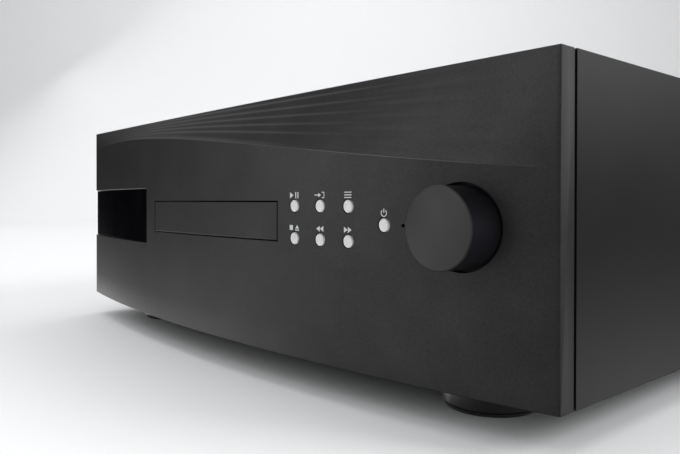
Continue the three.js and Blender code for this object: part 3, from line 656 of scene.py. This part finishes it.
def make_knob():
    radius, front, back = KNOB["radius"], KNOB["front"], KNOB["back"]
    chamfer = KNOB["chamfer"]
    face = [(0.3, front + 0.02), (radius - chamfer - 0.1, front), (radius - chamfer, front + 0.03)]
    bevel_end = front + chamfer + 0.03
    length = back - bevel_end
    barrel = [(radius - KNOB["waist"] * math.sin(math.pi * share) ** 2, bevel_end + length * share)
              for share in steps(0, 1, 16)]
    inside = [(15.2, back), (15.2, -16), (6.5, -16), (6.5, back), (2.8, back), (2.8, -18), (0.3, -18)]
    vertices, faces = turned(face + barrel + inside, KNOB["x"], CONTROLS_Z, 160)
    mesh = mesh_from("knob", vertices, faces)
    knob = finish_piece("knob", mesh, "knob", "knob", ["control_knob"], sharp=30.0)
    # The face and chamfer take the lighter copy: painted light, with a painted highlight on the rim.
    knob.data.materials.append(MATERIALS["knob_face_painted_light"])
    edge = to_row(0, bevel_end + 0.01, 0).y
    for polygon in knob.data.polygons:
        if polygon.center.y < edge:
            polygon.material_index = 1


# ---------------------------------------------------------------- printed symbols

INK = 0.05  # thickness of the print
SYMBOL_RISE = 5.5  # a symbol's centre above its button's
SYMBOL_SCALE = 1.22


def symbol_shapes(kind):
    """Polygons, in millimetres about the symbol's centre."""
    def box(x0, x1, z0, z1):
        return [(x0, z0), (x1, z0), (x1, z1), (x0, z1)]

    def arrow(x, z, size, way=1):
        tail, tip, rise = x - way * size * 0.5, x + way * size * 0.5, size * 0.6
        return [(tail, z - rise), (tip, z), (tail, z + rise)]

    def arc(radius, width, start, end, count=28):
        angles = [math.radians(a) for a in steps(start, end, count)]
        outer = [(radius * math.cos(a), radius * math.sin(a)) for a in angles]
        inner = [((radius - width) * math.cos(a), (radius - width) * math.sin(a)) for a in reversed(angles)]
        return outer + inner

    return {
        "play_pause": [arrow(-1.7, 0, 2.2), box(0.6, 1.2, -1.3, 1.3), box(2.0, 2.6, -1.3, 1.3)],
        "input": [box(-3.0, -0.6, -0.2, 0.2), arrow(-0.1, 0, 1.5), box(1.2, 2.6, 0.95, 1.3),
                  box(1.2, 2.6, -1.3, -0.95), box(2.25, 2.6, -0.95, 0.95)],
        "menu": [box(-1.9, 1.9, z - 0.2, z + 0.2) for z in (-1.05, 0.0, 1.05)],
        "stop_eject": [box(-3.0, -0.9, -1.05, 1.05), box(0.6, 3.0, -1.25, -0.8),
                       [(0.6, -0.4), (3.0, -0.4), (1.8, 1.2)]],
        "rewind": [arrow(-1.0, 0, 2.0, -1), arrow(1.1, 0, 2.0, -1)],
        "forward": [arrow(-1.1, 0, 2.0), arrow(1.0, 0, 2.0)],
        "power": [arc(1.45, 0.36, 125, 415), box(-0.18, 0.18, 0.1, 1.75)],
    }[kind]


def make_symbols():
    for name, (bx, bz) in BUTTONS.items():
        parts = []
        for shape in symbol_shapes(name):
            placed = [(bx + x * SYMBOL_SCALE, bz + SYMBOL_RISE + z * SYMBOL_SCALE) for x, z in shape]
            layers = [[to_row(x, -bow_at(x) + lift, z) for x, z in placed] for lift in (-INK, INK)]
            parts.append(loft(layers))
        mesh = mesh_from("symbol_" + name, *merged(*parts))
        finish_piece("symbol_" + name, mesh, "ink", "case", sharp=20.0)


# ---------------------------------------------------------------- feet


def make_feet():
    radius, height, pad = FOOT["radius"], FOOT["height"], FOOT["pad"]
    base = -height + pad + 0.3
    body = [(0.5, base), (radius - 1.0, base), (radius - 0.3, base + 0.25), (radius, base + 0.9),
            (radius, -1.2), (radius - 0.3, -0.4), (radius - 1.0, 0.2), (0.5, 0.2)]
    sole = [(0.5, -height), (radius - 1.5, -height), (radius - 0.8, -height + 0.4),
            (radius - 0.6, -height + 0.9), (radius - 0.6, -height + pad), (0.5, -height + pad)]
    for corner in ("front_left", "front_right", "rear_left", "rear_right"):
        low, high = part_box("foot_" + corner)
        centre = Vector(((low.x + high.x) / 2, (low.y + high.y) / 2, CASE_ORIGIN.z))
        for kind, profile, material, slot in (
            ("foot", body, "foot", "foot_plastic"),
            ("foot_pad", sole, "rubber", "foot_rubber"),
        ):
            vertices, faces = turned(profile, 0, 0, 96, centre, "Z")
            name = f"{kind}_{corner}"
            mesh = mesh_from("round_" + name, vertices, faces)
            finish_piece("round_" + name, mesh, material, "case", [name])


# ---------------------------------------------------------------- sockets on the rear panel

CASE_BACK = 345.0
FLANGE_FACE = 347.0
SOCKETS_Z = 62.0
XLR = {"left": 85.0, "right": 130.0}
XLR_CUP = {"radius": 11.7, "bore": 9.6, "floor": 333.0, "start": 322.0}
PHONO = {"x": 32.0, "rise": 9.0, "end": 357.0}
MAINS_X = -180.0
ROCKER = {"x": MAINS_X, "y": 344.9, "z": 49.0, "turn": 0.14, "half_width": 9.6, "crown": 1.6}
PANEL_SCREWS = [(-216, 22), (-216, 120), (0, 14), (0, 128), (216, 22), (216, 120)]


def rounded_plate(x, z, half_x, half_z, back, front, corner=2.0, edge=0.35):
    """A plate with rounded corners; its edge is broken on the side that faces out."""

    def outline(shrink, y):
        points = []
        radius = corner - shrink
        for way_x, way_z, first in ((1, 1, 0), (-1, 1, 90), (-1, -1, 180), (1, -1, 270)):
            middle_x, middle_z = x + way_x * (half_x - corner), z + way_z * (half_z - corner)
            for angle in (math.radians(first + a) for a in steps(0, 90, 6)):
                across, up = radius * math.cos(angle), radius * math.sin(angle)
                points.append(to_row(middle_x + across, y, middle_z + up))
        return points

    return loft([outline(0, back), outline(0, front - edge), outline(edge * 0.3, front - edge * 0.3),
                 outline(edge, front)])


def rear_piece(name, parts, material, replaced=(), cutters=(), body="case"):
    mesh = mesh_from(name, *merged(*parts))
    if cutters:
        blank = bpy.data.objects.new("blank", mesh)
        bpy.context.scene.collection.objects.link(blank)
        cut(blank, *cutters)
        mesh = blank.data
        bpy.data.objects.remove(blank)
    finish_piece(name, mesh, material, body, replaced)


def pan_screw(x, z, y, radius=2.4):
    """A low domed head with a round recess."""
    head = [(0.9, y - 0.5), (radius, y - 0.5), (radius, y + 0.3), (radius * 0.85, y + 0.75)]
    return turned(head + [(1.15, y + 0.95), (1.15, y + 0.1), (0.9, y + 0.1)], x, z, 48)


def make_balanced_sockets():
    bore, floor = XLR_CUP["bore"], XLR_CUP["floor"]
    for side, x in XLR.items():
        hole = turned([(XLR_CUP["radius"] - 0.05, 340), (XLR_CUP["radius"] - 0.05, 350)], x, SOCKETS_Z, 96)
        plate = rounded_plate(x, SOCKETS_Z, 13, 15.5, CASE_BACK + 0.3, FLANGE_FACE)
        rear_piece(f"xlr_flange_{side}", [plate], "moulded", ["xlr_" + side], [hole])
        cup = turned([(0.4, XLR_CUP["start"]), (XLR_CUP["radius"] - 0.1, XLR_CUP["start"]),
                      (XLR_CUP["radius"] - 0.1, FLANGE_FACE + 0.3), (bore + 0.8, FLANGE_FACE + 0.7),
                      (bore, FLANGE_FACE + 0.1), (bore, floor), (0.4, floor)], x, SOCKETS_Z, 96)
        screws = [pan_screw(x + 10.2 * way, SOCKETS_Z + 12.6 * way, FLANGE_FACE, 1.9) for way in (-1, 1)]
        rear_piece(f"xlr_shell_{side}", [cup, *screws], "steel")
        insert = turned([(0.4, floor + 0.05), (bore - 0.1, floor + 0.05), (bore - 0.1, floor + 1.2),
                         (bore - 0.5, floor + 1.6), (0.4, floor + 1.6)], x, SOCKETS_Z, 64)
        rear_piece(f"xlr_insert_{side}", [insert], "moulded")
        pins = []
        for angle in (math.radians(a) for a in (-90, 30, 150)):
            pins.append(turned([(1.25, floor + 1.5), (1.25, 340.9), (0.9, 341.5), (0.3, 341.7)],
                               x + 4.6 * math.cos(angle), SOCKETS_Z + 4.6 * math.sin(angle), 24))
        rear_piece(f"xlr_pins_{side}", pins, "gold")


def make_phono_sockets():
    x, end = PHONO["x"], PHONO["end"]
    plate = rounded_plate(x, SOCKETS_Z, 8, 17, CASE_BACK + 0.3, FLANGE_FACE)
    rear_piece("phono_plate", [plate], "moulded", ["phono_sockets"])
    for level, way, colour in (("upper", 1, "white_plastic"), ("lower", -1, "red_plastic")):
        z = SOCKETS_Z + way * PHONO["rise"]
        nut = turned([(4.3, FLANGE_FACE), (6.1, FLANGE_FACE), (6.1, FLANGE_FACE + 1.4),
                      (5.7, FLANGE_FACE + 1.6), (4.3, FLANGE_FACE + 1.6)], x, z, 6)
        barrel = turned([(0.4, FLANGE_FACE - 0.1), (4.2, FLANGE_FACE - 0.1), (4.2, end - 0.5), (3.9, end),
                         (3.4, end - 0.1), (3.3, end - 0.5), (3.3, 350.5), (0.4, 350.5)], x, z, 64)
        rear_piece(f"phono_barrel_{level}", [nut, barrel], "gold")
        ring = turned([(0.4, 350.6), (3.2, 350.6), (3.2, end - 1.3), (1.6, end - 1.3),
                       (1.6, 351.2), (0.4, 351.2)], x, z, 48)
        rear_piece(f"phono_insulator_{level}", [ring], colour)


def make_mains_details():
    pins = []
    for x, z in ((-7, 6.5), (7, 6.5), (0, 11.5)):
        pins.append(rounded_plate(MAINS_X + x, SOCKETS_Z + z, 1.1, 2.1, 331.4, 340.7, 0.4, 0.3))
    rear_piece("inlet_pins", pins, "steel")

    def on_rocker(x, lift, z):
        y = ROCKER["crown"] * (1 - abs(x) / ROCKER["half_width"]) + lift
        turn = ROCKER["turn"]
        return to_row(ROCKER["x"] + x * math.cos(turn) - y * math.sin(turn),
                      ROCKER["y"] + x * math.sin(turn) + y * math.cos(turn), ROCKER["z"] + z)

    stroke = [(4.6, -2.2), (5.2, -2.2), (5.2, 2.2), (4.6, 2.2)]
    marks = [loft([[on_rocker(x, lift, z) for x, z in stroke] for lift in (-INK, INK)])]
    angles = [2 * math.pi * i / 32 for i in range(32)]
    rings = []
    for lift, radius in ((-INK, 2.1), (INK, 2.1), (INK, 1.6), (-INK, 1.6), (-INK, 2.1)):
        rings.append([on_rocker(-4.9 + radius * math.cos(a), lift, radius * math.sin(a)) for a in angles])
    marks.append(loft(rings, cap=False))
    rear_piece("rocker_marks", marks, "ink", body="power_rocker")


def make_panel_screws():
    screws = [pan_screw(x, z, CASE_BACK) for x, z in PANEL_SCREWS]
    rear_piece("rear_panel_screws", screws, "steel")


# ---------------------------------------------------------------- stage and light

BACKDROP = (0.86, 0.87, 0.88)
STUDIO_DIM = 0.008  # what the darkened room around the stage gives from every side
STUDIO_PALE = (0.82, 0.84, 0.86)  # what a camera sees past the sweep's edges

# Broad soft glows in the studio: azimuth (0 is the front, 90 the right), elevation, sharpness, strength.
# The lit floor at the left: under half as strong and more spread out with each step to the right.
FLOOR_STEP, FLOOR_FADE = 30, 0.45
FLOOR_GLOWS = [(-90 + FLOOR_STEP * i, -16, 120 / (i + 1), 3.2 * FLOOR_FADE**i) for i in range(4)]
# One tall window, in three equal patches that rise to the left of the camera.
WINDOW_GLOWS = [(azimuth, elevation, 50, 1.5) for azimuth, elevation in ((-40, 6), (-20, 22), (-35, 42))]
GLOWS = [
    *FLOOR_GLOWS,
    *WINDOW_GLOWS,
    (-66, 22, 50, 0.5),  # on the flutes, from their right end to their left
    (-84, 47, 60, 0.7),
    (-98, 29, 60, 0.3),
    (-92, 60, 60, 2.5),  # on the ledge at the crease
    (-45, 66, 24, 0.3),  # overhead
    (-30, -45, 8, 0.1),  # from below
    (55, 5, 8, 0.3),  # on the front right corner
    (112, 8, 24, 2.5),  # on the right end of the front
    (146, 16, 60, 2.0),  # on the right side panel, high and low
    (152, -18, 60, 1.0),
    (75, 15, 10, 0.4),  # for views from the right, left, top and back
    (-135, 5, 20, 0.7),
    (-170, 50, 10, 0.5),
    (205, 25, 12, 0.8),
]
# Lights for the sweep alone: place, aim, size and radiance.
SWEEP_LIGHTS = {
    "sweep_over": ((-0.4, 0.5, 2.6), (-0.4, 0.5, 0), (3.5, 3.5), 1.0),
    "sweep_left": ((-2.6, 0.2, 1.6), (-1.0, 0.8, 0), (2, 2), 0.8),
    "sweep_front": ((0.8, -2.0, 1.6), (0.2, -0.3, 0), (2, 2), 2.0),
    "sweep_right": ((2.0, -0.6, 1.4), (0.75, -0.1, 0), (1.2, 1.2), 0.7),
    "sweep_behind": ((1.6, 0.8, 1.2), (0.5, 0.1, 0), (0.8, 0.8), 10.0),
    "sweep_wall": ((-1.0, 1.0, 2.4), (-2.4, 2.4, 0.9), (1.5, 1.5), 1.5),
}


# The sweep, in metres from the object's middle: its near edge, where it bends up, the bend and its size.
SWEEP_NEAR, SWEEP_FAR, SWEEP_BEND = -3.0, 2.2, 1.2
SWEEP_HALF, SWEEP_TOP = 6.0, 5.0


def make_stage():
    """A pale floor that sweeps up into a wall behind.

    Glossy and shadow rays pass it, so they reach the studio's glows below the horizon too.
    """
    profile = [(SWEEP_NEAR, 0.0), (SWEEP_FAR, 0.0)]
    for angle in steps(0, math.pi / 2, 16)[1:]:
        profile.append((SWEEP_FAR + SWEEP_BEND * math.sin(angle), SWEEP_BEND * (1 - math.cos(angle))))
    profile += [(SWEEP_FAR + SWEEP_BEND, SWEEP_TOP)]
    vertices, faces = [], []
    turn = Matrix.Rotation(YAW, 3, "Z")
    for away, z in profile:
        for side in (-SWEEP_HALF, SWEEP_HALF):
            point = turn @ Vector((side, away, 0))
            vertices.append((point.x, point.y, z))
    for i in range(len(profile) - 1):
        faces.append((2 * i, 2 * i + 1, 2 * i + 3, 2 * i + 2))
    mesh = mesh_from("sweep", vertices, faces)
    for polygon in mesh.polygons:
        polygon.use_smooth = True
    sweep = bpy.data.objects.new("sweep", mesh)
    bpy.context.scene.collection.objects.link(sweep)
    material, shader, add, link = new_material("paper_sweep")
    fibre = noise(add, add("ShaderNodeTexCoord").outputs["Object"], 6.0, 2.0)
    pale = [c * 0.985 for c in BACKDROP]
    link(two_tone(add, fibre, pale, BACKDROP), shader.inputs["Base Color"])
    shader.inputs["Roughness"].default_value = 0.7
    sweep.data.materials.append(material)
    sweep.visible_glossy = False
    sweep.visible_shadow = False
    return sweep


def heading(azimuth, elevation):
    a, e = math.radians(azimuth), math.radians(elevation)
    return Vector((math.sin(a) * math.cos(e), -math.cos(a) * math.cos(e), math.sin(e)))


def make_world(glows):
    """A dim room with soft glows, and a pale surround where a camera looks past the sweep."""
    world = bpy.data.worlds.new("studio")
    world.use_nodes = True
    tree = world.node_tree
    tree.nodes.clear()

    def math_node(operation, a, b=None):
        node = tree.nodes.new("ShaderNodeMath")
        node.operation = operation
        for socket, value in zip(node.inputs, (a, b)):
            if isinstance(value, bpy.types.NodeSocket):
                tree.links.new(value, socket)
            elif value is not None:
                socket.default_value = value
        return node.outputs[0]

    toward = tree.nodes.new("ShaderNodeTexCoord").outputs["Generated"]
    total = STUDIO_DIM
    for azimuth, elevation, sharpness, strength in glows:
        dot = tree.nodes.new("ShaderNodeVectorMath")
        dot.operation = "DOT_PRODUCT"
        tree.links.new(toward, dot.inputs[0])
        dot.inputs[1].default_value = heading(azimuth, elevation)
        falloff = math_node("MULTIPLY", math_node("SUBTRACT", dot.outputs["Value"], 1.0), sharpness)
        total = math_node("ADD", math_node("MULTIPLY", math_node("EXPONENT", falloff), strength), total)
    studio = tree.nodes.new("ShaderNodeBackground")
    studio.inputs["Color"].default_value = (1.0, 1.0, 1.0, 1)
    tree.links.new(total, studio.inputs["Strength"])
    surround = tree.nodes.new("ShaderNodeBackground")
    surround.inputs["Color"].default_value = (*STUDIO_PALE, 1)
    mix = tree.nodes.new("ShaderNodeMixShader")
    tree.links.new(tree.nodes.new("ShaderNodeLightPath").outputs["Is Camera Ray"], mix.inputs["Fac"])
    tree.links.new(studio.outputs[0], mix.inputs[1])
    tree.links.new(surround.outputs[0], mix.inputs[2])
    tree.links.new(mix.outputs[0], tree.nodes.new("ShaderNodeOutputWorld").inputs["Surface"])
    bpy.context.scene.world = world


def softbox(name, at, aim, size, radiance, only):
    """An area light that falls on the objects of one collection."""
    data = bpy.data.lights.new(name, "AREA")
    data.shape = "RECTANGLE"
    data.size, data.size_y = size
    data.energy = radiance * math.pi * size[0] * size[1]
    light = bpy.data.objects.new(name, data)
    light.location = at
    light.rotation_euler = (Vector(aim) - Vector(at)).to_track_quat("-Z", "Y").to_euler()
    light.light_linking.receiver_collection = only
    bpy.context.scene.collection.objects.link(light)


def make_light(sweep):
    only_sweep = bpy.data.collections.new("only_sweep")
    only_sweep.objects.link(sweep)
    for name, (at, aim, size, radiance) in SWEEP_LIGHTS.items():
        softbox(name, at, aim, size, radiance, only_sweep)
    make_world(GLOWS)
    bpy.context.scene.view_settings.view_transform = "Standard"


# ---------------------------------------------------------------- build

make_camera()
dress_cad_nodes()
make_fascia()
make_window()
make_drawer_door()
make_buttons()
make_knob()
make_symbols()
make_feet()
make_balanced_sockets()
make_phono_sockets()
make_mains_details()
make_panel_screws()
make_light(make_stage())
